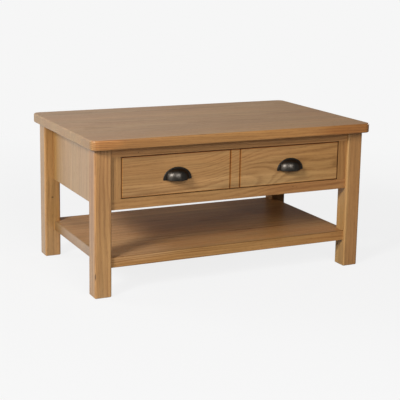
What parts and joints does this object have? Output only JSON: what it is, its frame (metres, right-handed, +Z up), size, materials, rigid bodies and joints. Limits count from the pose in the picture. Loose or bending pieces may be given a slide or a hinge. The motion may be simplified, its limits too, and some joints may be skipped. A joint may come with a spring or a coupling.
{
  "type": "coffee table with drawer",
  "caption": "Oak coffee table on square legs with a rounded-corner top, a wide sliding drawer with dark cup handles and a lower shelf.",
  "frame": {"origin": "on the floor under the middle of the top", "axes": "+X along the width to the right, -Y out of the drawer front, +Z up"},
  "size_m": [0.9, 0.55, 0.45],
  "materials": {
    "dowel_wood": "planed, unlacquered",
    "handle_metal": "burnished dark bronze",
    "inner_wood_x": "planed, unlacquered",
    "inner_wood_y": "planed, unlacquered",
    "oak_back": "satin lacquered oak",
    "oak_drawer_front": "satin lacquered oak",
    "oak_leg": "satin lacquered oak",
    "oak_rail": "satin lacquered oak",
    "oak_shelf": "satin lacquered oak",
    "oak_side": "satin lacquered oak",
    "oak_stile": "satin lacquered oak",
    "oak_top": "satin lacquered oak",
    "ply": "planed, unlacquered",
    "screw_steel": "zinc plated"
  },
  "bodies": {
    "frame": {"back_apron": "oak_back", "back_cleat": "inner_wood_x", "drawer_kicker_left": "inner_wood_y", "drawer_kicker_right": "inner_wood_y", "drawer_runner_left": "inner_wood_y", "drawer_runner_right": "inner_wood_y", "front_bottom_rail": "oak_rail", "front_stile_left": "oak_stile", "front_stile_right": "oak_stile", "front_top_rail": "oak_rail", "leg_back_left": "oak_leg", "leg_back_right": "oak_leg", "leg_front_left": "oak_leg", "leg_front_right": "oak_leg", "pull_stop_left": "inner_wood_y", "pull_stop_right": "inner_wood_y", "rear_stop_left": "inner_wood_y", "rear_stop_right": "inner_wood_y", "runner_screws": "screw_steel", "shelf_dowels": "dowel_wood", "shelf_panel": "oak_shelf", "side_apron_left": "oak_side", "side_apron_right": "oak_side", "stop_screws": "screw_steel", "top_panel": "oak_top", "top_screws": "screw_steel"},
    "drawer": {"bottom_screws": "screw_steel", "cup_handle_left": "handle_metal", "cup_handle_right": "handle_metal", "drawer_back": "inner_wood_x", "drawer_batten": "inner_wood_y", "drawer_bottom": "ply", "drawer_front": "oak_drawer_front", "drawer_side_left": "inner_wood_y", "drawer_side_right": "inner_wood_y", "handle_screws": "screw_steel"}
  },
  "joints": [
    {"name": "drawer_slide", "type": "slide", "parent": "frame", "child": "drawer", "axis": [0, -1, 0], "range_m": [0, 0.32]}
  ]
}
